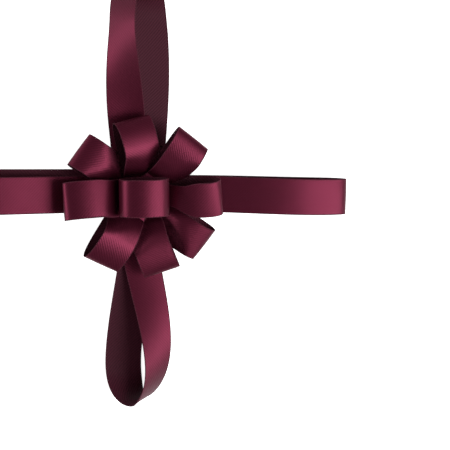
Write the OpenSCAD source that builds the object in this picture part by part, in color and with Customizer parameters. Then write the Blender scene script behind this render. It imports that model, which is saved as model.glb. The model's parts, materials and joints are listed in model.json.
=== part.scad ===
// Pre-made gift bow: a rosette of eight ribbon petals and a centre loop, sewn on two crossed
// wrap loops of the same satin ribbon. It lies on a table, face up.
// +X points right, +Y points to the top of the bow, +Z up. The origin is on the table, under the stitch.

/* [Ribbon] */
// Width of the ribbon
ribbon_w = 16; // [12:0.5:18]
// Thickness of one ply of ribbon
ribbon_t = 0.4; // [0.25:0.05:0.5]

/* [Rosette] */
// Distance from the stitch to the outer edge of a petal, seen from above
petal_reach = 34; // [31:0.5:38]
// Height of a petal's loop, outside
petal_h = 8.6; // [6:0.2:9]
// Half length of the flat waist of the lowest strip, up to where its petals start to bend
waist_half = 18; // [17:0.25:19]
// Width of the centre loop, across its opening
centre_loop_w = 21.6; // [18:0.2:22]
// Height of the centre loop
centre_loop_h = 14; // [11:0.5:16]

/* [Wrap loops] */
// Half length of the loop that runs along the bow, top to bottom
along_half = 89; // [75:1:120]
// Half length of the loop that runs across the bow, left to right
across_half = 93.5; // [75:0.5:120]
// Turn of the loop that runs across, away from square to the other
across_turn = -1.2; // [-4:0.2:4]
// Distance from the stitch to the line where a wrap arm starts to bend
arm_start = 20; // [19:0.5:24]
// Length over which the two ends of a wrap loop lie on each other
lap = 14; // [8:1:24]
// Height of the folded end of the loop that runs across
fold_h = 10; // [6:0.5:14]
// Sideways swell of each run of the bottom arm, where its two runs are widest apart
bottom_spread = 6.5; // [5:0.1:9]
// Sideways swell of each run of the top arm
top_spread = 6; // [5:0.1:9]
// Sideways shift of each run of the top arm, where it leaves the rosette
top_parting = 4.2; // [0:0.2:5]
// Rise of the front run of both these arms, on its way from the rosette to its end
lens_arch = 3.5; // [0:0.5:5]

/* [Stitch] */
// Diameter of the sewing thread, where it passes the stack
thread_d = 1.2; // [0.8:0.1:2]
// Diameter of the knots at both ends of the thread
knot_d = 4; // [3:0.25:5]
// Height of a knot
knot_h = 0.8; // [0.6:0.1:1.2]

/* [Clearances] */
// Radial clearance of a needle hole round the thread
needle_clear = 0.06; // [0.04:0.01:0.1]
// Play of the centre loop between the stack and the top knot, on each side
swivel_play = 0.3; // [0.2:0.05:0.5]
// Gap at the bending line of a petal or a wrap arm
bend_gap = 0.6; // [0.4:0.05:0.8]
// Gap between the two plies of a petal at its root
ply_gap = 0.1; // [0.05:0.05:0.2]
// Air between the strips of the rosette, which lie loosely on each other
layer_air = 0.5; // [0.3:0.05:0.6]

/* [Hidden] */

wine = "#7a1236";
wine_dark = "#5c0d28";
thread_red = "#8c1a40";

// Direction of each double-loop strip, lowest strip first, in degrees from +X
STRIP_TURN = [142.5, 101, 53.5, 2];

// Heights of the stack, from the table up
across_back_z = 0;
along_back_z = across_back_z + ribbon_t;
bottom_knot_z = along_back_z + ribbon_t;
along_front_z = bottom_knot_z + knot_h;
across_front_z = along_front_z + 2 * ribbon_t;
rosette_z = across_front_z + 2 * ribbon_t + layer_air;
strip_h = 2 * ribbon_t + ply_gap;
strip_pitch = strip_h + layer_air;
function strip_z(k) = rosette_z + k * strip_pitch;
swivel_z = strip_z(len(STRIP_TURN) - 1) + strip_h;
centre_loop_z = swivel_z + swivel_play;
top_knot_z = centre_loop_z + ribbon_t + swivel_play;

// The columns of a petal's row: its strip, the end of the strip (1 or -1), the sideways shift and slant
// of its outer edge, the bank of its upper ply, the rise of its tip, and how far it falls short of the reach
STRIP = 0;
END = 1;
SHIFT = 2;
SLANT = 3;
BANK = 4;
RISE = 5;
SHORTFALL = 6;

// The petals as they were fluffed
upper_left = [0, 1, 0.5, 0, 7, 1.4, 0];
lower_right = [0, -1, -0.3, 1, 9, 1.4, -1];
top = [1, 1, -1.4, 2, 12, 3, 0.8];
bottom = [1, -1, 2.2, 6, 9, 3, -0.5];
upper_right = [2, 1, -2.6, -2, 0, 2.5, 1];
lower_left = [2, -1, 1.6, 9, -10, 2.5, -0.2];
right = [3, 1, -1, 4, 15, 2.5, 0];
left = [3, -1, 0.5, 0, 9, 2.5, -0.2];

// How much shorter the flat waist of each strip is than that of the lowest: the higher, the freer it bends
waist_cut = [0, 1, 2.5, 6];
// The petals above hold down the edges of a petal over this share of its length, for each strip
edge_delay = [0.28, 0.17, 0.14, 0];
// How long a petal stays pinched beyond its waist, and a wrap loop beyond the rosette, as powers
petal_pinch_power = 0.25;
fold_pinch_power = 2;
lens_pinch_power = 1.8;
arch_pinch_power = 0.5;

// Places along a loop are angles of its own round, from 0 at one root to this at the other
ROUND_ANGLE = 360;
// The direction of a ribbon is measured between places this far before and after
DIRECTION_ANGLE = 0.5;
// Number of sections along a petal and along a wrap arm, and of points across a ribbon that is arched
petal_sections = 36;
arm_sections = 64;
arched_points = 7;
// A petal banks between these places of its round, and is banked in full at this share of its length
BANK_FROM_ANGLE = 100;
BANK_TO_ANGLE = 240;
bank_out_share = 0.4;

// The right arm drifts this far to the bottom at its end, the top arm this far to the left,
// and the back run of the left arm lies this far up
right_drift = 1.2;
top_drift = 1.8;
left_back_shift = 2.6;
// The bottom arm bends this far to the left, close to its end
bottom_end_drift = 2.5;
// That back run moves aside between these places of its round
BACK_FROM_ANGLE = 190;
BACK_TO_ANGLE = 250;

// The front run of the loop that runs along leans up to this angle, between these places of its round:
// the top arm leans sooner than the bottom one
lens_lean = 56;
LEAN_FROM_ANGLE = 30;
TOP_LEAN_TO_ANGLE = 125;
BOTTOM_LEAN_TO_ANGLE = 175;
// Its ribbon then turns over the rest of the way, between these places
OVER_FROM_ANGLE = 145;
OVER_TO_ANGLE = 270;
// Radius of the bend at its ends, as seen from above, and how close to an end its shape changes, as a power
lens_end_r = 4.5;
end_power = 4;

// Sides of a full circle
$fn = 96;

function smooth(x) = let (c = max(0, min(1, x))) c * c * (3 - 2 * c);
function unit(v) = v / norm(v);

// A loop pinched at its root: how far out the place t lies, from 0 to 1, and its half height, up to 1
function out_share(t) = (1 - cos(t)) / 2;
function pinched(t, power) = sin(t) * pow(sin(t / 2), power);
function widest_place(power) = 2 * asin(sqrt((1 + power) / (2 + power)));
function swell(t, power) = pinched(t, power) / pinched(widest_place(power), power);

// The places just before and after t, and the places of a number of sections along a loop
function before(t) = max(0, t - DIRECTION_ANGLE);
function after(t) = min(ROUND_ANGLE, t + DIRECTION_ANGLE);
function loop_places(count) = [for (k = [0 : count - 1]) ROUND_ANGLE * k / (count - 1)];

// A section of ribbon is a row of [point, direction of its face], from one edge to the other.
// This is the row of a straight section, from its middle and the directions of its width and its face
function straight_section(middle, across, face) =
    [for (side = [-1, 1]) [middle + side * across * ribbon_w / 2, face]];

// The points round a section, along one face and back along the other
function section_ring(section) = concat(
    [for (e = section) e[0] - e[1] * ribbon_t / 2],
    [for (k = [len(section) - 1 : -1 : 0]) section[k][0] + section[k][1] * ribbon_t / 2]
);

// A ribbon swept along its sections, with a flat end at both
module ribbon_through(sections) {
    columns = len(sections[0]);
    ring = 2 * columns;
    last = ring * (len(sections) - 1);
    points = [for (s = sections) each section_ring(s)];
    ends = [
        for (k = [0 : columns - 2])
        let (a = k, b = k + 1, c = ring - 2 - k, d = ring - 1 - k)
        each [
            [a, b, c], [a, c, d],
            [last + a, last + c, last + b], [last + a, last + d, last + c]
        ]
    ];
    // Both broad faces are split along the same diagonal, so a twisted ribbon keeps its thickness
    sides = [
        for (k = [0 : len(sections) - 2], j = [0 : ring - 1])
        let (a = ring * k + j, b = a + ring, next = (j + 1) % ring - j)
        each j >= columns && j < ring - 1
            ? [[a, b, a + next], [a + next, b, b + next]]
            : [[a, b, b + next], [a, b + next, a + next]]
    ];
    polyhedron(points = points, faces = concat(ends, sides));
}

function petal_turn(p) = STRIP_TURN[p[STRIP]] + (p[END] > 0 ? 0 : 180);
function petal_root(strip) = waist_half - waist_cut[strip];
function petal_length(p) = petal_reach - p[SHORTFALL] - petal_root(p[STRIP]);

// The place of a loop that starts to open later than its root, by a share of its length
function delayed_place(t, delay) =
    let (
        out = max(0, (out_share(t) - delay) / (1 - delay)),
        place = acos(1 - 2 * out)
    )
    t < ROUND_ANGLE / 2 ? place : ROUND_ANGLE - place;

// The height of a hoop over its root: its lower ply is flat, and its upper ply arched
function hoop_height(t) =
    let (
        half_h = (petal_h - ribbon_t) / 2,
        widest = widest_place(petal_pinch_power),
        turned = t > widest && t < ROUND_ANGLE - widest,
        bulge = swell(t, petal_pinch_power),
        lift = turned ? 1 : abs(bulge)
    )
    half_h * (lift - bulge) - (ribbon_t + ply_gap) / 2 * cos(t / 2);

function petal_bank(p, t) =
    p[BANK] * smooth(out_share(t) / bank_out_share)
    * smooth((t - BANK_FROM_ANGLE) / (BANK_TO_ANGLE - BANK_FROM_ANGLE));

// The direction of a petal's width
function petal_across(p, t) =
    let (slant = p[SLANT] * smooth(out_share(t)), bank = petal_bank(p, t))
    [-sin(slant), cos(slant) * cos(bank), cos(slant) * sin(bank)];

// A line along a petal at a share of its half width, from the waist's lower ply round to its upper ply
function petal_point(p, t, share) =
    let (
        out = out_share(t),
        height = hoop_height(delayed_place(t, edge_delay[p[STRIP]] * share * share)),
        bank = petal_bank(p, t),
        middle = [
            bend_gap + (petal_length(p) - bend_gap) * out,
            p[SHIFT] * smooth(out) - height * sin(bank),
            p[RISE] * out + height * cos(bank)
        ]
    )
    middle + petal_across(p, t) * share * ribbon_w / 2;

function petal_section(p, t, columns) = [
    for (k = [0 : columns - 1])
    let (
        share = 2 * k / (columns - 1) - 1,
        along = petal_point(p, after(t), share) - petal_point(p, before(t), share)
    )
    [petal_point(p, t, share), unit(cross(along, petal_across(p, t)))]
];

module petal(p) {
    columns = edge_delay[p[STRIP]] > 0 ? arched_points : 2;
    color(wine)
    rotate([0, 0, petal_turn(p)])
    translate([petal_root(p[STRIP]), 0, strip_z(p[STRIP]) + strip_h / 2])
    ribbon_through([for (t = loop_places(petal_sections)) petal_section(p, t, columns)]);
}

// The flat waist of a strip: two plies under the stitch, rounded to stay clear of the other petals
module waist(k) {
    color(wine_dark)
    translate([0, 0, strip_z(k)])
    rotate([0, 0, STRIP_TURN[k]])
    difference() {
        intersection() {
            translate([-petal_root(k), -ribbon_w / 2, 0])
            cube([2 * petal_root(k), ribbon_w, strip_h]);
            cylinder(r = waist_half, h = strip_h);
        }
        needle_hole(strip_h);
    }
}

// A hole for the thread through a ply, or plies, of this depth
module needle_hole(depth) {
    translate([0, 0, -depth])
    cylinder(d = thread_d + 2 * needle_clear, h = 3 * depth);
}

// The back run of a wrap loop where it passes under the rosette, shifted to its own left
module back_run(turn, shift, z, half) {
    color(wine)
    rotate([0, 0, turn])
    translate([-half, shift - ribbon_w / 2, z])
    cube([2 * half, ribbon_w, ribbon_t]);
}

// The direction to the top of the bow
UPWARDS = 90;

// The height of a wrap arm's front ply above its back ply sets the room that the back needs to fold
function fold_room(front_z) = front_z + ribbon_t + bend_gap;
across_top_z = across_front_z + ribbon_t;
along_top_z = along_front_z + ribbon_t;
across_back_half = arm_start - fold_room(across_top_z);
along_back_half = arm_start - fold_room(along_top_z);

// The front of the top arm leans to the left by its parting
top_lean = atan(top_parting / arm_start);
// The back run comes straight from the bottom arm, and meets the back of the top arm further right
along_back_lean = atan(top_parting / (2 * arm_start));
// That of the other loop comes straight from the right arm, and meets the back of the left arm further up
across_back_lean = atan(left_back_shift / (2 * arm_start));

module across_wrap_back() {
    back_run(across_turn - across_back_lean, left_back_shift / 2, across_back_z, across_back_half);
}

module along_wrap_back() {
    back_run(UPWARDS - along_back_lean, -top_parting / 2, along_back_z, along_back_half);
}

// One end of a wrap loop, from its lap under the stitch to the bending line of its arm
module wrap_end(turn, z, lean = 0) {
    color(wine)
    translate([0, 0, z])
    rotate([0, 0, turn])
    difference() {
        intersection() {
            rotate([0, 0, lean])
            translate([-lap / 2, -ribbon_w / 2, 0])
            cube([lap / 2 + 2 * arm_start, ribbon_w, ribbon_t]);
            translate([-arm_start, -arm_start, 0])
            cube([2 * arm_start, 2 * arm_start, ribbon_t]);
        }
        needle_hole(ribbon_t);
    }
}

// The columns of a wrap arm's row: its direction, the height of its front ply, and the drift of its end.
// A folded arm then has the shift of its back run, a lens arm the parting of its runs, their swell,
// the drift close to its end, and the place where its front run leans in full
TURN = 0;
FRONT_Z = 1;
DRIFT = 2;
BACK_SHIFT = 3;
PARTING = 3;
SPREAD = 4;
END_DRIFT = 5;
LEAN_TO = 6;

// The wrap arms as they lie
arm_left = [180 + across_turn, across_top_z, 0, -left_back_shift];
arm_right = [across_turn, across_front_z, -right_drift, 0];
arm_top = [UPWARDS, along_top_z, top_drift, top_parting, top_spread, 0, TOP_LEAN_TO_ANGLE];
arm_bottom = [-UPWARDS, along_front_z, 0, 0, bottom_spread, -bottom_end_drift, BOTTOM_LEAN_TO_ANGLE];

// The first half of an arm's round is its front run, the second half its back run
function on_front(t) = t < ROUND_ANGLE / 2;

// The arm that lies folded flat: its back on the table, its front rising to a round fold.
// It drifts sideways along its length, and its back run may lie further to the side
function fold_point(arm, t) =
    let (
        out = out_share(t),
        widest = widest_place(fold_pinch_power),
        half_h = (fold_h - ribbon_t) / 2,
        turned = t > widest && t < ROUND_ANGLE - widest,
        lift = turned ? 1 : abs(swell(t, fold_pinch_power)),
        root_z = on_front(t) ? arm[FRONT_Z] : across_back_z,
        back = smooth((t - BACK_FROM_ANGLE) / (BACK_TO_ANGLE - BACK_FROM_ANGLE))
    )
    [
        arm_start + bend_gap + (across_half - ribbon_t / 2 - arm_start - bend_gap) * out,
        arm[DRIFT] * smooth(out) + arm[BACK_SHIFT] * back,
        ribbon_t / 2 + root_z * (1 - smooth(out)) + half_h * (lift + swell(t, fold_pinch_power))
    ];

function fold_section(arm, t) =
    let (
        along = unit(fold_point(arm, after(t)) - fold_point(arm, before(t))),
        across = unit([0, -1, 0] + along * along.y)
    )
    straight_section(fold_point(arm, t), across, unit(cross(along, across)));

// The arm that rolls over: its two runs part like a lens and meet in a leaning bend,
// and its front run rises in an arch
function roll(arm, t) =
    lens_lean * smooth((t - LEAN_FROM_ANGLE) / (arm[LEAN_TO] - LEAN_FROM_ANGLE))
    + (180 - lens_lean) * smooth((t - OVER_FROM_ANGLE) / (OVER_TO_ANGLE - OVER_FROM_ANGLE));

// How much a lens arm is widened at its end, so that it bends round with its radius
lens_run = along_half - ribbon_t / 2 - arm_start - bend_gap;
function end_widening(arm) =
    sqrt(lens_end_r * lens_run / 2) - arm[SPREAD] / pinched(widest_place(lens_pinch_power), lens_pinch_power);

function lens_point(arm, t) =
    let (
        out = out_share(t),
        at_end = pow(out, end_power),
        root_z = on_front(t) ? arm[FRONT_Z] : along_back_z,
        parted = (on_front(t) ? 1 : -1) * arm[PARTING] * (1 - smooth(out)),
        arch = on_front(t) ? lens_arch * pow(swell(t, arch_pinch_power), 2) : 0
    )
    [
        arm_start + bend_gap + lens_run * out,
        parted + arm[SPREAD] * swell(t, lens_pinch_power) + end_widening(arm) * sin(t) * at_end
            + arm[DRIFT] * smooth(out) + arm[END_DRIFT] * at_end,
        ribbon_t / 2 + root_z * (1 - smooth(out)) + ribbon_w / 2 * sin(roll(arm, t)) + arch
    ];

function lens_section(arm, t) =
    let (
        along = unit(lens_point(arm, after(t)) - lens_point(arm, before(t))),
        side = unit(cross([along.x, along.y, 0], [0, 0, 1])),
        leaning = side * cos(roll(arm, t)) + [0, 0, 1] * sin(roll(arm, t)),
        across = unit(leaning - along * (leaning * along))
    )
    straight_section(lens_point(arm, t), across, unit(cross(along, across)));

module folded_arm(arm) {
    color(wine)
    rotate([0, 0, arm[TURN]])
    ribbon_through([for (t = loop_places(arm_sections)) fold_section(arm, t)]);
}

module lens_arm(arm) {
    color(wine)
    rotate([0, 0, arm[TURN]])
    ribbon_through([for (t = loop_places(arm_sections)) lens_section(arm, t)]);
}

// The outline of the centre loop: round ends joined by straight runs
module centre_outline(inset) {
    end_r = centre_loop_h / 2;
    straight_half = centre_loop_w / 2 - end_r;
    translate([0, end_r]) {
        for (side = [-1, 1])
        translate([side * straight_half, 0])
        circle(r = end_r - inset);
        square([2 * straight_half, 2 * (end_r - inset)], center = true);
    }
}

module centre_loop() {
    color(wine)
    translate([0, 0, centre_loop_z])
    difference() {
        translate([0, ribbon_w / 2, 0])
        rotate([90, 0, 0])
        linear_extrude(ribbon_w)
        difference() {
            centre_outline(0);
            centre_outline(ribbon_t);
        }
        needle_hole(ribbon_t);
    }
}

module stitch_thread() {
    thread_z = bottom_knot_z + knot_h;
    color(thread_red)
    translate([0, 0, thread_z])
    cylinder(d = thread_d, h = top_knot_z - thread_z);
}

module knot(z) {
    color(thread_red)
    translate([0, 0, z])
    cylinder(d = knot_d, h = knot_h);
}

across_wrap_back();
along_wrap_back();
knot(bottom_knot_z);  // bottom_knot
wrap_end(-UPWARDS, along_front_z);  // along_wrap_bottom_end
wrap_end(UPWARDS, along_top_z, top_lean);  // along_wrap_top_end
wrap_end(across_turn, across_front_z);  // across_wrap_right_end
wrap_end(180 + across_turn, across_top_z);  // across_wrap_left_end
waist(0);  // waist_1
waist(1);  // waist_2
waist(2);  // waist_3
waist(3);  // waist_4
stitch_thread();
knot(top_knot_z);  // top_knot
centre_loop();
petal(upper_left);  // petal_upper_left
petal(lower_right);  // petal_lower_right
petal(top);  // petal_top
petal(bottom);  // petal_bottom
petal(upper_right);  // petal_upper_right
petal(lower_left);  // petal_lower_left
petal(left);  // petal_left
petal(right);  // petal_right
lens_arm(arm_top);  // wrap_arm_top
lens_arm(arm_bottom);  // wrap_arm_bottom
folded_arm(arm_left);  // wrap_arm_left
folded_arm(arm_right);  // wrap_arm_right
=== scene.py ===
import json
import math
from collections import namedtuple

import bpy
import numpy as np
from mathutils import Matrix, Vector


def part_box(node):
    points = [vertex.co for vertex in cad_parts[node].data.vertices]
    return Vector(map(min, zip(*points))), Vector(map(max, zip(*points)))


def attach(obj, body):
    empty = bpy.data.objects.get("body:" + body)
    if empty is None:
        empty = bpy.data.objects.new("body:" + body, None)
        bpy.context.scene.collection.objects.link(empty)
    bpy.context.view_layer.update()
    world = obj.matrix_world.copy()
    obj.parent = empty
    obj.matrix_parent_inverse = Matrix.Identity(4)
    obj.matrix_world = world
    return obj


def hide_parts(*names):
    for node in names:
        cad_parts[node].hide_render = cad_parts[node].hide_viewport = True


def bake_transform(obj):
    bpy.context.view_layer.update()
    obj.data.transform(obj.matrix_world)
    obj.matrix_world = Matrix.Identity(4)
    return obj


# The looks of a pre-made gift bow of burgundy satin ribbon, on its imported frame.
# Shapes are worked out in millimetres and degrees, and turned into metres when a mesh is made.
# Petals and arms are shaped along X and then turned into place. Aside is to the left, looking out from
# the stitch.
# A place on a loop is its angle round it, from 0 at the root over 180 at the tip to 360 at the root again.
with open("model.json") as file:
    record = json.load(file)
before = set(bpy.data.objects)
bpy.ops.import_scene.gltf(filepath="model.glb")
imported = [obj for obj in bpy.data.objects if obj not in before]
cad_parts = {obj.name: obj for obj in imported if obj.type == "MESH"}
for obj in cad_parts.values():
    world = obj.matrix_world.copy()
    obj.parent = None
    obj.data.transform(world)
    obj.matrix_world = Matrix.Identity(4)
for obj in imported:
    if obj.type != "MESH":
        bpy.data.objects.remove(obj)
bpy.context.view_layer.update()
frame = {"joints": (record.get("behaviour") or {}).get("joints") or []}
MM = 0.001
BASE = "bow_base"
JOINTS = {joint["child"]: joint for joint in frame["joints"]}


def box_mm(node):
    """The lowest and the highest corner of a CAD node."""
    low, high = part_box(node)
    return np.array(low) / MM, np.array(high) / MM


def hinge_mm(body):
    """The point where a moving body is hinged."""
    return np.array(JOINTS[body]["pos_m"]) / MM


# Sizes read from the frame: the width of the ribbon, the thickness of its solids,
# and the step from the lower ply of a strip to the upper one
end_low, end_high = box_mm("along_wrap_bottom_end")
RIBBON_W = end_high[0] - end_low[0]
CAD_PLY = end_high[2] - end_low[2]
waist_low, waist_high = box_mm("waist_1")
PLY_STEP = waist_high[2] - waist_low[2] - CAD_PLY

# Section of the ribbon: half the thickness of its cloth, of its woven edge and of the groove beside the edge,
# and the width of that edge
CLOTH_HALF = 0.13
EDGE_HALF = 0.17
GROOVE_HALF = 0.1
EDGE_W = 0.4
# The edge is rounded by a point this far in, at this share of its half thickness
ROUND_IN = 0.06
ROUND_SHARE = 0.7
# Where the cloth has points between its middle and its edge, as shares of that distance
CLOTH_SHARES = (0.66, 0.33)
# Room for rounding where a point is compared with the start of the edge
TINY = 1e-6
# Kinds of surface on a ribbon, in the order of its materials
SATIN, TWILL, EDGE = range(3)
# The map of millimetres across and along a ribbon
UV_NAME = "ribbon"

# Shape of a petal: how far it reaches, how high its hoop stands, how much its hoop is pinched at the root,
# and how far the edges of its ribbon are cupped
PETAL_REACH = 34.0
PETAL_H = 8.6
PETAL_PINCH = 0.25
PETAL_CUP = 0.12
# Its hoop banks over between these places, and in full from this share of its reach
BANK_FROM = 100.0
BANK_TO = 240.0
BANK_OUT = 0.4
# Points round its hoop, and along each ply from the stitch to the hoop
HOOP_POINTS = 161
PLY_POINTS = 14
# Each petal as it was fluffed: its strip counted from below, where its hoop starts, how far it lies aside
# at its root and at its tip, the slant of its outer edge, the bank of its hoop, the rise of its tip,
# how far it falls short, and the share of its width that is gathered at its root
PETAL_FIELDS = "body strip start aside tip_aside slant bank rise shortfall gather"
UNGATHERED = 0.0
Petal = namedtuple("Petal", PETAL_FIELDS, defaults=[UNGATHERED])
PETALS = [
    Petal(
        "petal_upper_left", strip=1, start=10.0, aside=0.0, tip_aside=0.5,
        slant=0.0, bank=7.0, rise=2.5, shortfall=0.0,
    ),
    Petal(
        "petal_lower_right", strip=1, start=10.0, aside=-1.5, tip_aside=-0.3,
        slant=1.0, bank=13.0, rise=2.5, shortfall=-1.0,
    ),
    Petal(
        "petal_top", strip=2, start=9.0, aside=-2.4, tip_aside=-1.4,
        slant=2.0, bank=12.0, rise=0.5, shortfall=0.8,
    ),
    Petal(
        "petal_bottom", strip=2, start=10.0, aside=-1.4, tip_aside=2.5,
        slant=6.0, bank=9.0, rise=0.8, shortfall=-0.5,
    ),
    Petal(
        "petal_upper_right", strip=3, start=10.0, aside=-4.5, tip_aside=-2.6,
        slant=-2.0, bank=0.0, rise=3.5, shortfall=1.0,
    ),
    Petal(
        "petal_lower_left", strip=3, start=9.0, aside=0.0, tip_aside=1.6,
        slant=9.0, bank=-10.0, rise=1.0, shortfall=-0.2,
    ),
    Petal(
        "petal_right", strip=4, start=9.0, aside=0.0, tip_aside=-1.0,
        slant=4.0, bank=15.0, rise=2.5, shortfall=0.0, gather=0.45,
    ),
    Petal(
        "petal_left", strip=4, start=9.5, aside=0.3, tip_aside=0.5,
        slant=0.0, bank=9.0, rise=2.5, shortfall=-0.2,
    ),
]
# Where a petal's gathers start to open, and where they end
GATHER_START = 10.0
GATHER_END = 24.0
# The petals whose ribbons also take the place of a strip's waist
WAISTS = {
    "petal_upper_left": "waist_1",
    "petal_top": "waist_2",
    "petal_upper_right": "waist_3",
    "petal_right": "waist_4",
}
# A petal that lies over another presses it down: the air between them, the steepest slope beside it,
# the height over which this fades in, and the height of the open air over a petal
PRESS_AIR = 0.35
PRESS_SLOPE = 2.0
PRESS_SOFT = 1.2
OPEN_SKY = 1000.0

# Shape of a wrap arm: the lap of its loop's ends under the rosette, how far past its hinge its loop starts,
# and how far the edges of its ribbon are cupped
LAP = 14.0
BEND_GAP = 0.6
ARM_CUP = 0.1
# Points round its loop, and along each of its runs under the rosette
ARM_POINTS = 181
RUN_POINTS = 24

# Arms that lie folded flat: the height of the fold, how much it is pinched at the root, the places
# between which the back run moves aside, and how far that of the left arm moves
FOLD_H = 10.0
FOLD_PINCH = 2.0
BACK_FROM = 190.0
BACK_TO = 250.0
LEFT_BACK_SHIFT = -2.6
# Each of them: its drift aside, how far aside its back run lies on the arm and under the stitch,
# and the other nodes that its ribbon takes the place of
FoldArm = namedtuple("FoldArm", "body drift back_shift back_middle nodes")
FOLD_ARMS = [
    FoldArm(
        "wrap_arm_right", drift=-1.2, back_shift=0.0, back_middle=-LEFT_BACK_SHIFT / 2,
        nodes=["across_wrap_right_end", "across_wrap_back"],
    ),
    FoldArm(
        "wrap_arm_left", drift=0.0, back_shift=LEFT_BACK_SHIFT, back_middle=LEFT_BACK_SHIFT / 2,
        nodes=["across_wrap_left_end"],
    ),
]

# Arms whose runs part like a lens: how much they are pinched at the root, how high the front run arches,
# and how much that arch is pinched
LENS_PINCH = 1.8
LENS_ARCH = 5.5
ARCH_PINCH = 1.0
# The front run leans up to this angle, starting at this place, and the ribbon is laid flat again
# between the next two
LENS_LEAN = 56.0
LEAN_FROM = 30.0
FLAT_FROM = 165.0
FLAT_TO = 240.0
# The loop turns round its tip with this half width. Powers of its share of the reach say how close to the tip
# this comes in, and how close the drift of the end does
END_TURN = 9.5
END_POWER = 14
END_DRIFT_POWER = 4
# How far aside each run of the top arm lies at the root
TOP_PARTING = 4.2
# Each of them: 1 if it points up in the photograph and -1 if down, how far its runs part at the root
# and how far they swell, its drift aside and that of its end, the place where its front run leans in full,
# and the other nodes that its ribbon takes the place of
LensArm = namedtuple("LensArm", "body upwards parting spread drift end_drift lean_to nodes")
LENS_ARMS = [
    LensArm(
        "wrap_arm_top", upwards=1, parting=TOP_PARTING, spread=6.0, drift=1.8, end_drift=0.0, lean_to=125.0,
        nodes=["along_wrap_top_end", "along_wrap_back"],
    ),
    LensArm(
        "wrap_arm_bottom", upwards=-1, parting=0.0, spread=6.8, drift=0.0, end_drift=-2.0, lean_to=175.0,
        nodes=["along_wrap_bottom_end"],
    ),
]

# Centre loop: how far each end of its ribbon runs past the stitch, how far the inner end is tucked in,
# the places between which it comes out again, how much the loop is squared, how far its edges are cupped,
# and the points along it
CENTRE_OVERRUN = 24.0
TUCK = 0.36
TUCK_FROM = 26.0
TUCK_TO = 76.0
CENTRE_SQUARED = 0.12
CENTRE_CUP = 0.1
CENTRE_POINTS = 170

# Sewing thread: its radius, its sides, and a direction in which no thread sets out
THREAD_R = 0.2
THREAD_SIDES = 10
OFF_AXIS = (0.3, 0.5, 0.8)
# A knot's ring, as a share of its reach, and the points along its thread
KNOT_RING = 0.64
KNOT_POINTS = 121
# The strands of the stitch, their twist in degrees to a millimetre, and the points along each
STITCH_STRANDS = 5
STITCH_TWIST = 40.0
STITCH_POINTS = 40

# Looks: the darkest and the lightest colour, the strength and the depth of the relief, the least roughness,
# and how much an uneven pattern adds to it
Look = namedtuple("Look", "dark light strength depth rough uneven")
SATIN_LOOK = Look(
    dark=(0.060, 0.0055, 0.0145), light=(0.117, 0.0132, 0.0340),
    strength=0.8, depth=0.06, rough=0.42, uneven=0.1,
)
TWILL_LOOK = Look(
    dark=(0.028, 0.004, 0.009), light=(0.070, 0.011, 0.023),
    strength=0.6, depth=0.08, rough=0.5, uneven=0.15,
)
EDGE_LOOK = Look(
    dark=(0.030, 0.004, 0.009), light=(0.150, 0.025, 0.050),
    strength=0.7, depth=0.08, rough=0.6, uneven=0.2,
)
THREAD_LOOK = Look(
    dark=(0.110, 0.010, 0.030), light=(0.330, 0.050, 0.120),
    strength=0.6, depth=0.08, rough=0.45, uneven=0.2,
)
# Spacing of the ribs of the weave, of the dots of its edge and of the twist of the thread,
# and the slant of that twist in radians to a millimetre round the thread
SATIN_RIB = 0.95
TWILL_RIB = 1.0
EDGE_DOT = 0.7
THREAD_TWIST = 0.9
THREAD_SLANT = 2.0

# Stage: half the floor's length in metres, its colour, how much it glows to the camera and in reflections,
# and the strength of the light from all around
FLOOR_HALF = 40.0
FLOOR_COLOUR = (0.9, 0.9, 0.9, 1)
FLOOR_GLOW = 0.85
FLOOR_MIRRORED = 0.32
WHITE = (1, 1, 1, 1)
WORLD_STRENGTH = 0.27
# Where the photograph's camera stood: its distance from the stitch, its lean to the left and to the top,
# the size of a pixel there, the pixels of the frame and of the stitch, and the width of the sensor
CAMERA_DISTANCE = 575.0
CAMERA_LEAN = (-9.0, 6.5)
PIXEL = 0.438
FRAME_PIXELS = 450
STITCH_PIXEL = (138.5, 192.5)
SENSOR = 36.0
# The nearest thing that the camera shows, in metres
CLIP_START = 0.01


# Curves
def smooth(x):
    """A soft step from 0 to 1."""
    c = np.clip(x, 0.0, 1.0)
    return c * c * (3 - 2 * c)


def sin_deg(angle):
    """The sine of an angle in degrees."""
    return np.sin(np.radians(angle))


def cos_deg(angle):
    """The cosine of an angle in degrees."""
    return np.cos(np.radians(angle))


def unit(vectors):
    """Vectors in the same directions, with a length of 1."""
    return vectors / np.linalg.norm(vectors, axis=-1, keepdims=True)


def points(x, y, z):
    """Rows of x, y and z, any of which may be one number."""
    return np.stack(np.broadcast_arrays(*(np.asarray(v, float) for v in (x, y, z))), axis=-1)


def turned(vectors, angle):
    """Vectors turned about Z."""
    c, s = cos_deg(angle), sin_deg(angle)
    return vectors @ np.array([[c, s, 0], [-s, c, 0], [0, 0, 1]])


def turn_of(body):
    """The angle at which a body's hinge lies round the stitch."""
    x, y, _ = hinge_mm(body)
    return math.degrees(math.atan2(y, x))


def directions(path):
    """The direction of a path at each of its points."""
    return unit(np.gradient(path, axis=0))


def distances(path):
    """How far along a path each of its points lies."""
    steps = np.linalg.norm(np.diff(path, axis=0), axis=1)
    return np.concatenate([[0.0], np.cumsum(steps)])


def out_share(t):
    """How far out a place on a loop lies, from 0 at its root to 1 at its tip."""
    return (1 - cos_deg(t)) / 2


def widest_place(power):
    """The place where a loop pinched at its root is widest."""
    return 2 * math.degrees(math.asin(math.sqrt((1 + power) / (2 + power))))


def swell_peak(power):
    """What the half height of a pinched loop is divided by, so that it is 1 at the widest place."""
    widest = widest_place(power)
    return sin_deg(widest) * sin_deg(widest / 2) ** power


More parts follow.
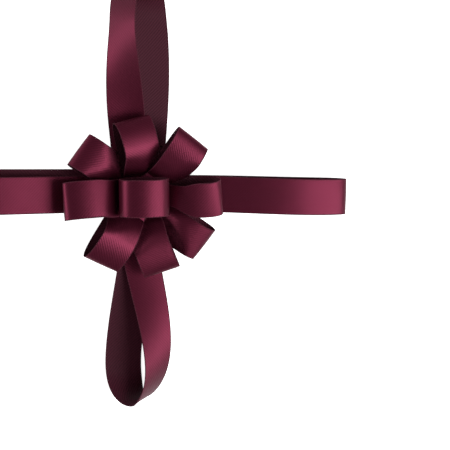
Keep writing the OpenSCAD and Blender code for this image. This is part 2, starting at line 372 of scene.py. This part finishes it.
def swell(t, power):
    """The half height of a loop pinched at its root, up to 1."""
    return sin_deg(t) * np.abs(sin_deg(t / 2)) ** power / swell_peak(power)


def flat_below(t, bulge, pinch):
    """The height of a loop whose lower ply is laid flat, in half heights, from how it bulges up and down."""
    widest = widest_place(pinch)
    lift = np.where((t > widest) & (t < 360 - widest), 1.0, np.abs(bulge))
    return lift + bulge


# Materials
def set_inputs(tree, node, inputs):
    """Sets a node's inputs to values, or links them to sockets."""
    for key, value in inputs.items():
        if isinstance(value, bpy.types.NodeSocket):
            tree.links.new(value, node.inputs[key])
        else:
            node.inputs[key].default_value = value


def add_node(tree, kind, inputs=None, **settings):
    """A shader node with its settings and inputs."""
    node = tree.nodes.new(kind)
    for key, value in settings.items():
        setattr(node, key, value)
    set_inputs(tree, node, inputs or {})
    return node


def maths(tree, operation, *values):
    """The output of a Math node."""
    node = add_node(tree, "ShaderNodeMath", dict(enumerate(values)), operation=operation)
    return node.outputs[0]


def weighted_sum(tree, first, *others):
    """The sum of patterns, each of them given with its weight."""
    total = maths(tree, "MULTIPLY", *first)
    for pattern, weight in others:
        total = maths(tree, "MULTIPLY_ADD", pattern, weight, total)
    return total


def wave(tree, phase):
    """A sine wave from 0 to 1."""
    return maths(tree, "MULTIPLY_ADD", maths(tree, "SINE", phase), 0.5, 0.5)


def ramp(tree, factor, low, high):
    """A colour between low and high."""
    node = add_node(tree, "ShaderNodeMix", {"Factor": factor}, data_type="RGBA")
    for socket, colour in zip([s for s in node.inputs if s.type == "RGBA"], (low, high)):
        socket.default_value = (*colour, 1)
    return [s for s in node.outputs if s.type == "RGBA"][0]


def new_material(name):
    """A material, its node tree and its shader."""
    material = bpy.data.materials.new(name)
    material.use_nodes = True
    tree = material.node_tree
    return material, tree, tree.nodes["Principled BSDF"]


def ribbon_coordinates(tree):
    """Millimetres across and along the ribbon, and both as one vector."""
    uv = add_node(tree, "ShaderNodeUVMap", uv_map=UV_NAME).outputs[0]
    split = add_node(tree, "ShaderNodeSeparateXYZ", {0: uv})
    return split.outputs[0], split.outputs[1], uv


def twill_lines(tree, across, along, pitch):
    """Diagonal ribs of the weave, from 0 to 1."""
    slanted = maths(tree, "ADD", across, along)
    return wave(tree, maths(tree, "MULTIPLY", slanted, 2 * math.pi / (pitch * math.sqrt(2))))


def stretched_noise(tree, vector, across_scale, along_scale, detail):
    """Noise with its own scale across and along the ribbon."""
    mapped = add_node(
        tree, "ShaderNodeMapping", {"Vector": vector, "Scale": (across_scale, along_scale, 1)}
    ).outputs[0]
    return add_node(tree, "ShaderNodeTexNoise", {"Vector": mapped, "Scale": 1.0, "Detail": detail}).outputs[0]


def apply_look(tree, shader, look, tone, relief, unevenness):
    """Gives a shader the colours, relief and roughness of a look, from three patterns."""
    bump = add_node(
        tree, "ShaderNodeBump",
        {"Height": relief, "Strength": look.strength, "Distance": look.depth * MM},
    )
    set_inputs(tree, shader, {
        "Base Color": ramp(tree, tone, look.dark, look.light),
        "Roughness": maths(tree, "MULTIPLY_ADD", unevenness, look.uneven, look.rough),
        "Normal": bump.outputs[0],
    })


def satin_material():
    """The shining face: long floats along the ribbon over faint diagonal ribs."""
    material, tree, shader = new_material("satin_face")
    across, along, uv = ribbon_coordinates(tree)
    ribs = twill_lines(tree, across, along, SATIN_RIB)
    floats = stretched_noise(tree, uv, across_scale=5.0, along_scale=0.25, detail=3.0)
    clouds = stretched_noise(tree, uv, across_scale=0.12, along_scale=0.08, detail=2.0)
    tone = weighted_sum(tree, (ribs, 0.35), (floats, 0.5), (clouds, 0.3))
    relief = weighted_sum(tree, (ribs, 0.5), (floats, 0.6))
    apply_look(tree, shader, SATIN_LOOK, tone, relief, floats)
    tangent = add_node(tree, "ShaderNodeTangent", direction_type="UV_MAP", uv_map=UV_NAME)
    set_inputs(tree, shader, {
        "Tangent": tangent.outputs[0],
        "Metallic": 0.75,
        "Anisotropic": 0.6,
        "Specular IOR Level": 0.22,
    })
    return material


def twill_material():
    """The matt back: plain diagonal ribs."""
    material, tree, shader = new_material("twill_back")
    across, along, uv = ribbon_coordinates(tree)
    ribs = twill_lines(tree, across, along, TWILL_RIB)
    grain = stretched_noise(tree, uv, across_scale=4.0, along_scale=4.0, detail=4.0)
    tone = weighted_sum(tree, (ribs, 0.5), (grain, 0.5))
    relief = weighted_sum(tree, (ribs, 1.0), (grain, 0.4))
    apply_look(tree, shader, TWILL_LOOK, tone, relief, grain)
    set_inputs(tree, shader, {
        "Specular IOR Level": 0.1,
        "Sheen Weight": 0.05,
        "Sheen Roughness": 0.4,
        "Sheen Tint": (0.8, 0.45, 0.6, 1),
    })
    return material


def edge_material():
    """The woven edge: the turns of its weft show as fine dots."""
    material, tree, shader = new_material("woven_edge")
    _, along, uv = ribbon_coordinates(tree)
    dots = wave(tree, maths(tree, "MULTIPLY", along, 2 * math.pi / EDGE_DOT))
    grain = stretched_noise(tree, uv, across_scale=3.0, along_scale=3.0, detail=2.0)
    tone = maths(tree, "MULTIPLY", dots, grain)
    apply_look(tree, shader, EDGE_LOOK, tone, dots, grain)
    set_inputs(tree, shader, {"Specular IOR Level": 0.1})
    return material


def thread_material():
    """Sewing thread: two plies twisted round each other."""
    material, tree, shader = new_material("sewing_thread")
    around, along, uv = ribbon_coordinates(tree)
    phase = weighted_sum(tree, (around, THREAD_SLANT), (along, 2 * math.pi / THREAD_TWIST))
    twist = wave(tree, phase)
    fuzz = stretched_noise(tree, uv, across_scale=3.0, along_scale=6.0, detail=3.0)
    tone = weighted_sum(tree, (twist, 0.6), (fuzz, 0.4))
    apply_look(tree, shader, THREAD_LOOK, tone, twist, fuzz)
    return material


RIBBON_MATERIALS = [satin_material(), twill_material(), edge_material()]
THREAD_MATERIAL = thread_material()


# Meshes
def add_object(name, data):
    """A new object in the scene."""
    thing = bpy.data.objects.new(name, data)
    bpy.context.scene.collection.objects.link(thing)
    return thing


def ring_faces(along, spans, end_places, first=0):
    """The faces of a row of rings that is closed at both ends, and the coordinates of their corners.
    along says how far along each ring lies, spans where each side of a ring starts and ends,
    end_places where each of its points lies on the end faces, and first is the number of the first point."""
    around = len(spans)
    faces = []
    uvs = []
    for k in range(len(along) - 1):
        near, far = along[k], along[k + 1]
        this = first + k * around
        following = this + around
        for j, (left, right) in enumerate(spans):
            n = (j + 1) % around
            faces.append((this + j, this + n, following + n, following + j))
            uvs += [(left, near), (right, near), (right, far), (left, far)]
    last = first + (len(along) - 1) * around
    backwards = range(around - 1, -1, -1)
    faces.append(tuple(first + j for j in backwards))
    uvs += [(end_places[j], along[0]) for j in backwards]
    faces.append(tuple(last + j for j in range(around)))
    uvs += [(end_places[j], along[-1]) for j in range(around)]
    return faces, uvs


def new_mesh(name, corners, faces, uvs, materials):
    """A mesh from its corners in millimetres, its faces and their coordinates."""
    mesh = bpy.data.meshes.new(name)
    mesh.from_pydata([tuple(corner) for corner in corners * MM], [], faces)
    mesh.uv_layers.new(name=UV_NAME).data.foreach_set("uv", np.array(uvs, np.float32).ravel())
    for material in materials:
        mesh.materials.append(material)
    return mesh


def face_profile():
    """The ribbon's outer face from one side to the other: how far from its middle line, and how high."""
    half = RIBBON_W / 2
    near = half - EDGE_W
    rows = [
        (half, 0.0),
        (half - ROUND_IN, ROUND_SHARE * EDGE_HALF),
        (half - EDGE_W / 2, EDGE_HALF),
        (near, GROOVE_HALF),
        (near - EDGE_W, CLOTH_HALF),
    ]
    rows += [(near * share, CLOTH_HALF) for share in CLOTH_SHARES]
    left = [(-x, z) for x, z in rows]
    return left + [(0.0, CLOTH_HALF)] + rows[::-1]


def surface_kinds(spans, outer_sides):
    """The kind of surface on each side of the ribbon's section: the first sides are on its outer face."""
    inside = RIBBON_W / 2 - EDGE_W - TINY
    kinds = []
    for j, (left, right) in enumerate(spans):
        if min(abs(left), abs(right)) >= inside:
            kinds.append(EDGE)
        elif j < outer_sides:
            kinds.append(SATIN)
        else:
            kinds.append(TWILL)
    return kinds


def ribbon(name, path, across, cup, width=1.0, press=None):
    """A ribbon with woven edges along a path, and its length in metres. across is the direction of its width,
    cup is how far its edges are drawn inwards, width the share of its width that shows,
    and press gives how far each place of it is pressed down."""
    outer = unit(np.cross(across, directions(path)))
    along = distances(path)
    profile = face_profile()
    side = [x for x, _ in profile]
    lift = [z for _, z in profile]
    side = np.array(side + side[-2:0:-1])
    lift = np.array(lift + [-z for z in lift[-2:0:-1]])
    cupped = -cup * (side / (RIBBON_W / 2)) ** 2
    aside = np.outer(np.broadcast_to(width, len(path)), side)
    middle = path[:, None] + across[:, None] * aside[..., None] + outer[:, None] * cupped[:, None]
    if press is not None:
        middle[..., 2] -= press(middle)
    rings = middle + outer[:, None] * lift[:, None]
    spans = list(zip(side, np.roll(side, -1)))
    faces, uvs = ring_faces(along, spans, side)
    kinds = surface_kinds(spans, len(profile) - 1) * (len(path) - 1) + [TWILL, TWILL]
    mesh = new_mesh(name, rings.reshape(-1, 3), faces, uvs, RIBBON_MATERIALS)
    mesh.polygons.foreach_set("material_index", kinds)
    mesh.polygons.foreach_set("use_smooth", [True] * (len(faces) - 2) + [False] * 2)
    mesh.update()
    piece = add_object(name, mesh)
    return piece, along[-1] * MM


def threads(name, paths):
    """Round threads along paths, with millimetres round and along as their coordinates."""
    side_step = 2 * math.pi * THREAD_R / THREAD_SIDES
    spans = [(j * side_step, (j + 1) * side_step) for j in range(THREAD_SIDES)]
    corners = []
    faces = []
    uvs = []
    for path in paths:
        tangents = directions(path)
        normal = unit(np.cross(tangents[0], OFF_AXIS))
        thread_faces, thread_uvs = ring_faces(distances(path), spans, [0.0] * THREAD_SIDES, len(corners))
        faces += thread_faces
        uvs += thread_uvs
        for place, tangent in zip(path, tangents):
            normal = unit(normal - tangent * np.dot(normal, tangent))
            other = np.cross(tangent, normal)
            for j in range(THREAD_SIDES):
                turn = 2 * math.pi * j / THREAD_SIDES
                corners.append(place + THREAD_R * (normal * math.cos(turn) + other * math.sin(turn)))
    mesh = new_mesh(name, np.array(corners), faces, uvs, [THREAD_MATERIAL])
    mesh.polygons.foreach_set("use_smooth", [True] * len(faces))
    mesh.update()
    piece = add_object(name, mesh)
    return piece


def bend_at_hinge(piece):
    """Bakes a ribbon's placement into its mesh."""
    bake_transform(piece)


# Petals
def petal_aside(petal, s):
    """How far the middle of a petal lies aside of its strip, at a distance from the stitch."""
    outwards = np.clip((s - petal.start) / (PETAL_REACH - petal.start), 0, 1)
    return petal.aside * smooth(s / petal.start) + (petal.tip_aside - petal.aside) * outwards


def hoop_length(petal):
    """How far a petal's hoop reaches from where it starts."""
    return PETAL_REACH - petal.shortfall - petal.start


def hoop_height(t):
    """Height of a hoop over its root: its lower ply comes first and is flat, its upper ply is arched."""
    half_h = (PETAL_H - CAD_PLY) / 2
    bulge = -swell(t, PETAL_PINCH)
    return half_h * flat_below(t, bulge, PETAL_PINCH) - PLY_STEP / 2 * cos_deg(t / 2)


def gathered(petal, s):
    """The share of a petal's width that shows at a distance from the stitch."""
    return 1 - petal.gather * smooth((GATHER_END - s) / (GATHER_END - GATHER_START))


def lower_ply_height(petal, s):
    """Height of a petal's lower ply at a distance from the stitch."""
    out = np.clip((s - petal.start) / hoop_length(petal), 0, 1)
    height = hoop_height(np.degrees(np.arccos(1 - 2 * out)))
    return hinge_mm(petal.body)[2] + height + petal.rise * out


def pressed_down(petal, places):
    """How far the petals above press a petal down, at places of its ribbon."""
    ceiling = np.full(places.shape[:-1], OPEN_SKY)
    for other in PETALS:
        if other.strip <= petal.strip:
            continue
        local = turned(places, -turn_of(other.body))
        s = local[..., 0]
        beside = np.abs(local[..., 1] - petal_aside(other, s)) - RIBBON_W / 2 * gathered(other, s)
        beyond = np.maximum(s - PETAL_REACH, -s)
        clear = np.maximum(np.maximum(beside, beyond), 0)
        roof = lower_ply_height(other, s) - PRESS_AIR + PRESS_SLOPE * clear
        ceiling = np.minimum(ceiling, roof)
    over = (places[..., 2] - ceiling) / PRESS_SOFT
    return PRESS_SOFT * np.logaddexp(0, over)


def petal_path(petal):
    """A petal's path from the stitch along its lower ply, round its hoop and back along its upper ply,
    with the direction of its ribbon's width and the share of that width that shows."""
    t = np.linspace(0, 360, HOOP_POINTS)
    out = out_share(t)
    s = petal.start + hoop_length(petal) * out
    height = hoop_height(t)
    bank = petal.bank * smooth(out / BANK_OUT) * smooth((t - BANK_FROM) / (BANK_TO - BANK_FROM))
    slant = petal.slant * smooth(out)
    hoop = points(
        s,
        petal_aside(petal, s) - height * sin_deg(bank),
        petal.rise * out + height * cos_deg(bank),
    )
    hoop_across = unit(
        points(-sin_deg(slant), cos_deg(slant) * cos_deg(bank), cos_deg(slant) * sin_deg(bank))
    )
    ply = np.linspace(0, petal.start, PLY_POINTS)[:-1]
    lower = points(ply, petal_aside(petal, ply), -PLY_STEP / 2)
    upper = points(ply[::-1], petal_aside(petal, ply[::-1]), PLY_STEP / 2)
    ply_across = np.tile([0.0, 1.0, 0.0], (len(ply), 1))
    path = np.concatenate([lower, hoop, upper])
    across = np.concatenate([ply_across, hoop_across, ply_across])
    return path, across, gathered(petal, path[:, 0])


def make_petal(petal):
    """The ribbon of one petal, pressed down by the petals above it, in place of its CAD nodes."""
    turn = turn_of(petal.body)
    path, across, width = petal_path(petal)
    path = turned(path, turn) + [0, 0, hinge_mm(petal.body)[2]]
    piece, length = ribbon(
        petal.body + "_ribbon", path, turned(across, turn), cup=PETAL_CUP, width=width,
        press=lambda places: pressed_down(petal, places),
    )
    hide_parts(petal.body)
    if petal.body in WAISTS:
        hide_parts(WAISTS[petal.body])
    bend_at_hinge(piece)


# Wrap arms
def arm_measures(body):
    """How far an arm reaches, where its loop starts, and how high its front run is there,
    over a ply that lies on the floor."""
    hinge = hinge_mm(body)
    low, high = box_mm(body)
    reach = np.abs([low[:2], high[:2]]).max() - CAD_PLY / 2
    root = math.hypot(hinge[0], hinge[1]) + BEND_GAP
    return reach, root, hinge[2] - CAD_PLY / 2


def in_line(x):
    """How far aside a run lies that isn't aside at all."""
    return 0 * x


def straight_run(start, end, aside, z):
    """A run of ribbon under the rosette, from one distance to another. aside gives how far aside it lies,
    and z is its height over a ply that lies on the floor."""
    x = np.linspace(start, end, RUN_POINTS)
    return points(x, aside(x), CAD_PLY / 2 + z)


def arm_path(loop, root, front_aside, back_aside, front_z, back_z):
    """An arm's path from its lap out along the front, round its loop and back to under the stitch."""
    front = straight_run(-LAP / 2, root, front_aside, front_z)[:-1]
    back = straight_run(root, 0, back_aside, back_z)[1:]
    return np.concatenate([front, loop, back])


def leaning_across(path, lean):
    """The direction of the width of a ribbon along a path, square to it, that leans over."""
    tangent = directions(path)
    leaning = points(0, -cos_deg(lean), sin_deg(lean))
    return unit(leaning - tangent * np.sum(leaning * tangent, axis=1, keepdims=True))


def finish_arm(arm, path, across):
    """The ribbon of one wrap arm, in place of its CAD nodes."""
    turn = turn_of(arm.body)
    piece, length = ribbon(arm.body + "_ribbon", turned(path, turn), turned(across, turn), cup=ARM_CUP)
    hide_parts(arm.body, *arm.nodes)
    bend_at_hinge(piece)


def fold_loop(arm, reach, root, front_z):
    """The loop of an arm that lies folded flat."""
    t = np.linspace(0, 360, ARM_POINTS)
    out = out_share(t)
    half_h = (FOLD_H - CAD_PLY) / 2
    bulge = swell(t, FOLD_PINCH)
    root_z = np.where(t < 180, front_z, 0.0)
    shifted = arm.back_shift * smooth((t - BACK_FROM) / (BACK_TO - BACK_FROM))
    return points(
        root + (reach - root) * out,
        arm.drift * smooth(out) + shifted,
        CAD_PLY / 2 + root_z * (1 - smooth(out)) + half_h * flat_below(t, bulge, FOLD_PINCH),
    )


def make_fold_arm(arm):
    """A folded arm, whose back run moves aside from under the stitch to the arm."""
    reach, root, front_z = arm_measures(arm.body)

    def back_aside(x):
        """How far aside the back run lies at a distance from the stitch."""
        return arm.back_middle + (arm.back_shift - arm.back_middle) * x / root

    loop = fold_loop(arm, reach, root, front_z)
    path = arm_path(loop, root, in_line, back_aside, front_z, back_z=0.0)
    finish_arm(arm, path, leaning_across(path, 0))


def lens_lean(t, lean_to):
    """How far the ribbon of a lens arm leans: more and more on its front run, and not at all past its end."""
    leaning = smooth((t - LEAN_FROM) / (lean_to - LEAN_FROM))
    flattened = smooth((t - FLAT_FROM) / (FLAT_TO - FLAT_FROM))
    return LENS_LEAN * (leaning - flattened)


def lens_loop(arm, reach, root, front_z, back_z):
    """The loop of an arm whose two runs part like a lens and meet in a fold, and the lean of its ribbon."""
    t = np.linspace(0, 360, ARM_POINTS)
    out = out_share(t)
    in_front = t < 180
    parted = np.where(in_front, arm.parting, -arm.parting) * (1 - smooth(out))
    swollen = arm.spread * swell(t, LENS_PINCH)
    folded = (END_TURN - arm.spread / swell_peak(LENS_PINCH)) * sin_deg(t) * out ** END_POWER
    drifted = arm.drift * smooth(out) + arm.end_drift * out ** END_DRIFT_POWER
    lean = lens_lean(t, arm.lean_to)
    root_z = np.where(in_front, front_z, back_z)
    arch = np.where(in_front, LENS_ARCH * swell(t, ARCH_PINCH) ** 2, 0.0)
    loop = points(
        root + (reach - root) * out,
        parted + swollen + folded + drifted,
        CAD_PLY / 2 + root_z * (1 - smooth(out)) + RIBBON_W / 2 * sin_deg(lean) + arch,
    )
    return loop, lean


def make_lens_arm(arm):
    """A lens arm, whose back run lies on that of the other loop and slants over to the top arm's right.
    Where its lower edge would go into the floor, it is lifted."""
    reach, root, front_z = arm_measures(arm.body)
    back_z = CAD_PLY

    def front_aside(x):
        """How far aside the front run lies at a distance from the stitch."""
        return arm.parting * smooth((x + LAP / 2) / (root + LAP / 2))

    def back_aside(x):
        """How far aside the back run lies at a distance from the stitch."""
        return -arm.upwards * TOP_PARTING * smooth((arm.upwards * x + root) / (2 * root))

    loop, lean = lens_loop(arm, reach, root, front_z, back_z)
    path = arm_path(loop, root, front_aside, back_aside, front_z, back_z)
    across = leaning_across(path, np.pad(lean, RUN_POINTS - 1))
    lower_edge = path[:, 2] - RIBBON_W / 2 * np.abs(across[:, 2])
    path[:, 2] += np.maximum(CAD_PLY / 2 - lower_edge, 0)
    finish_arm(arm, path, across)


# Centre loop and stitch
def make_centre_loop():
    """The closed ring of ribbon on top, with the inner end of its ribbon tucked under the outer one."""
    low, high = box_mm("centre_loop")
    half_w = (high[0] - low[0]) / 2 - CLOTH_HALF
    half_h = (high[2] - low[2]) / 2 - CLOTH_HALF
    angle = np.linspace(-CENTRE_OVERRUN, 360 + CENTRE_OVERRUN, CENTRE_POINTS)
    tucked = TUCK * (1 - smooth((angle - TUCK_FROM) / (TUCK_TO - TUCK_FROM)))
    x = (half_w - tucked) * sin_deg(angle) * (1 + CENTRE_SQUARED * cos_deg(angle) ** 2)
    z = half_h - (half_h - tucked) * cos_deg(angle)
    path = points(x, 0, low[2] + CLOTH_HALF + z)
    across = np.tile([0.0, 1.0, 0.0], (len(angle), 1))
    piece, length = ribbon("centre_loop_ribbon", path, across, cup=CENTRE_CUP)
    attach(piece, "centre_loop")
    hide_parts("centre_loop")


def make_knot(node):
    """An overhand knot drawn flat, in the room of its CAD node."""
    low, high = box_mm(node)
    middle = (low + high) / 2
    reach = (high[0] - low[0]) / 2 - THREAD_R
    rise = (high[2] - low[2]) / 2 - THREAD_R
    ring = KNOT_RING * reach
    a = np.linspace(0, 360, KNOT_POINTS)
    radius = ring + (reach - ring) * cos_deg(3 * a)
    turn = 2 * a
    knot = points(radius * cos_deg(turn), radius * sin_deg(turn), rise * sin_deg(3 * a)) + middle
    piece = threads(node + "_threads", [knot])
    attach(piece, BASE)
    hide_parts(node)


def make_stitch():
    """The bundle of twisted threads through the stack."""
    low, high = box_mm("stitch_thread")
    bundle = (high[0] - low[0]) / 2 - THREAD_R
    middle = (low + high) / 2
    z = np.linspace(low[2], high[2], STITCH_POINTS)
    strands = []
    for k in range(STITCH_STRANDS):
        turn = 360 / STITCH_STRANDS * k + STITCH_TWIST * (z - low[2])
        strands.append(points(middle[0] + bundle * cos_deg(turn), middle[1] + bundle * sin_deg(turn), z))
    piece = threads("stitch", strands)
    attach(piece, BASE)
    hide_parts("stitch_thread")


# Floor, light and camera
def make_floor():
    """A white floor that keeps the bow's shadow."""
    mesh = bpy.data.meshes.new("floor")
    corners = [(-1, -1), (1, -1), (1, 1), (-1, 1)]
    mesh.from_pydata([(x * FLOOR_HALF, y * FLOOR_HALF, 0) for x, y in corners], [], [(0, 1, 2, 3)])
    material, tree, shader = new_material("white_floor")
    ray = add_node(tree, "ShaderNodeLightPath")
    mirrored = maths(tree, "MULTIPLY", ray.outputs["Is Glossy Ray"], FLOOR_MIRRORED)
    glow = maths(tree, "MULTIPLY_ADD", ray.outputs["Is Camera Ray"], FLOOR_GLOW, mirrored)
    set_inputs(tree, shader, {
        "Base Color": FLOOR_COLOUR,
        "Roughness": 0.9,
        "Specular IOR Level": 0.1,
        "Emission Color": WHITE,
        "Emission Strength": glow,
    })
    mesh.materials.append(material)
    floor = add_object("floor", mesh)


def softbox(name, place, width, height, power):
    """A lamp of a width and a height in metres, at a place from where it faces the bow."""
    lamp = bpy.data.lights.new(name, "AREA")
    lamp.shape = "RECTANGLE"
    lamp.size = width
    lamp.size_y = height
    lamp.energy = power
    holder = add_object(name, lamp)
    holder.location = place
    holder.rotation_mode = "QUATERNION"
    holder.rotation_quaternion = (-Vector(place)).to_track_quat("-Z", "Y")


def make_world():
    """Even white light from all around."""
    world = bpy.data.worlds.new("studio")
    world.use_nodes = True
    set_inputs(
        world.node_tree, world.node_tree.nodes["Background"],
        {"Color": WHITE, "Strength": WORLD_STRENGTH},
    )
    bpy.context.scene.world = world


def right_and_up(ahead):
    """The directions to the right and up in the picture of a camera that looks ahead."""
    right = ahead.cross(Vector((0, 1, 0))).normalized()
    return right, right.cross(ahead)


def make_camera():
    """A camera whose axis goes through the frame's middle, with the stitch at its own pixel."""
    lean = [math.tan(math.radians(a)) for a in CAMERA_LEAN]
    to_camera = Vector((lean[0], lean[1], 1)).normalized()
    focal = CAMERA_DISTANCE / PIXEL
    right, upwards = right_and_up(-to_camera)
    middle = FRAME_PIXELS / 2
    aside, below = middle - STITCH_PIXEL[0], middle - STITCH_PIXEL[1]
    axis = -to_camera * focal + right * aside - upwards * below
    axis.normalize()
    right, upwards = right_and_up(axis)
    lens = bpy.data.cameras.new("camera")
    lens.sensor_width = SENSOR
    lens.lens = SENSOR * focal / FRAME_PIXELS
    lens.clip_start = CLIP_START
    camera = add_object("camera", lens)
    camera.matrix_world = Matrix.Translation(to_camera * CAMERA_DISTANCE * MM) @ Matrix(
        (right, upwards, -axis)
    ).transposed().to_4x4()
    bpy.context.scene.camera = camera


for petal in PETALS:
    make_petal(petal)
for arm in FOLD_ARMS:
    make_fold_arm(arm)
for arm in LENS_ARMS:
    make_lens_arm(arm)
make_centre_loop()
make_knot("top_knot")
make_knot("bottom_knot")
make_stitch()

make_floor()
softbox("right_softbox", place=(0.70, -0.21, 0.80), width=0.45, height=1.05, power=15.5)
softbox("left_softbox", place=(-1.05, 0.1, 0.28), width=0.5, height=0.4, power=7.0)
make_world()
make_camera()
bpy.context.scene.view_settings.view_transform = "Standard"
